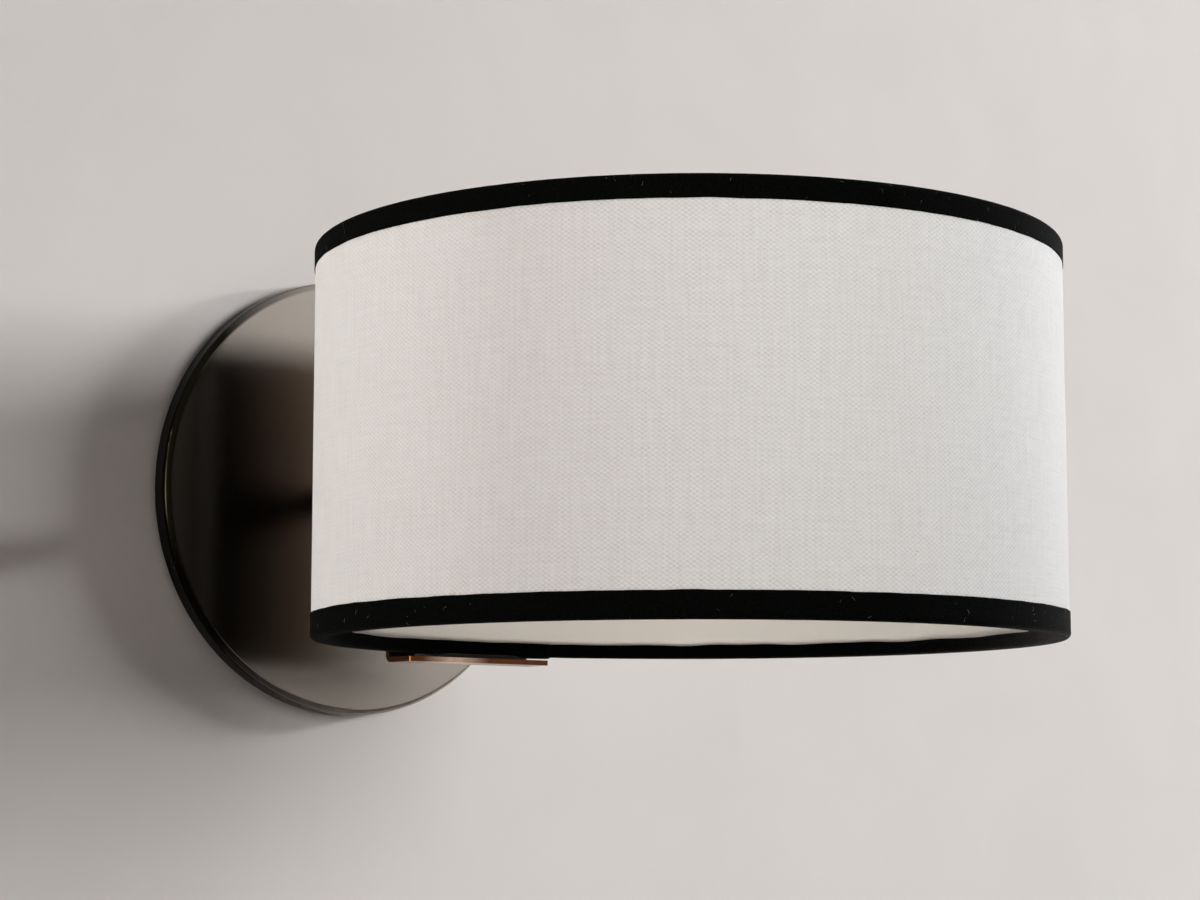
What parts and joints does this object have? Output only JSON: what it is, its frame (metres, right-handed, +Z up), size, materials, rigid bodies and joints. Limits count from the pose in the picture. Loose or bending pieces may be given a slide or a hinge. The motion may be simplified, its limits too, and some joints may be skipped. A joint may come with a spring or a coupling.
{
  "type": "fabric shade wall light",
  "caption": "Wall light with a round backplate, a hollow arm and a bent bracket that holds a pale linen drum shade with black tape rims, its bulb lying level inside.",
  "frame": {"origin": "middle of the mounting plate's back face, on the wall", "axes": "+Y into the wall, +Z up, +X to the right as seen from the room"},
  "size_m": [0.2038, 0.2739, 0.1395],
  "materials": {
    "zinc_steel": "zinc-plated, satin",
    "green_screw": "green passivated",
    "pewter": "satin brushed pewter plate",
    "dark_bronze": "dark rubbed bronze plate",
    "black_steel": "black oxide",
    "black_wire": "smooth insulation",
    "white_wire": "smooth insulation",
    "copper_bronze": "dark rubbed bronze strip, bare copper at its cut edges",
    "black_felt": "felt",
    "black_nylon": "moulded",
    "linen": "plain weave, natural slubs",
    "liner": "smooth styrene",
    "ring_wire": "white powder coat",
    "black_tape": "cotton bias tape",
    "fibre_sleeve": "pressed fibre",
    "porcelain": "glazed porcelain",
    "brass_shell": "drawn brass",
    "nickel_cap": "nickel plated",
    "black_glass": "vitreous",
    "white_plastic": "moulded",
    "frosted_globe": "frosted",
    "white_board": "white solder mask on aluminium",
    "chip_yellow": "phosphor"
  },
  "bodies": {
    "wall_side": {"mounting_plate": "zinc_steel", "ground_screw": "green_screw", "backplate": "pewter", "grub_screws": "black_steel", "arm_tube": "dark_bronze", "arm_collar": "dark_bronze", "star_washer": "zinc_steel", "lock_nut": "zinc_steel", "bracket_nut": "dark_bronze", "shade_nut": "zinc_steel", "live_wire": "black_wire", "neutral_wire": "white_wire", "holder_cap": "dark_bronze", "holder_shell": "dark_bronze", "holder_sleeve": "fibre_sleeve", "holder_core": "porcelain", "holder_screw_shell": "brass_shell", "holder_contact": "brass_shell"},
    "shade": {"shade_bracket": "copper_bronze", "bracket_pads": "black_felt", "spacer_bush": "black_nylon", "shade_washer": "zinc_steel", "shade_cover": "linen", "cover_seam": "linen", "shade_liner": "liner", "top_ring": "ring_wire", "bottom_ring": "ring_wire", "top_trim": "black_tape", "bottom_trim": "black_tape"},
    "bulb": {"bulb_cap": "nickel_cap", "bulb_insulator": "black_glass", "bulb_contact": "nickel_cap", "bulb_collar": "white_plastic", "bulb_globe": "frosted_globe", "bulb_board": "white_board", "bulb_post": "white_plastic", "bulb_chips": "chip_yellow"}
  },
  "joints": [
    {"name": "shade_level", "type": "hinge", "parent": "wall_side", "child": "shade", "pos_m": [0, -0.063, 0], "axis": [0, 1, 0], "range_deg": [-15, 15]},
    {"name": "bulb_screw_out", "type": "slide", "parent": "wall_side", "child": "bulb", "axis": [0, -1, 0], "range_m": [0, 0.027]}
  ]
}
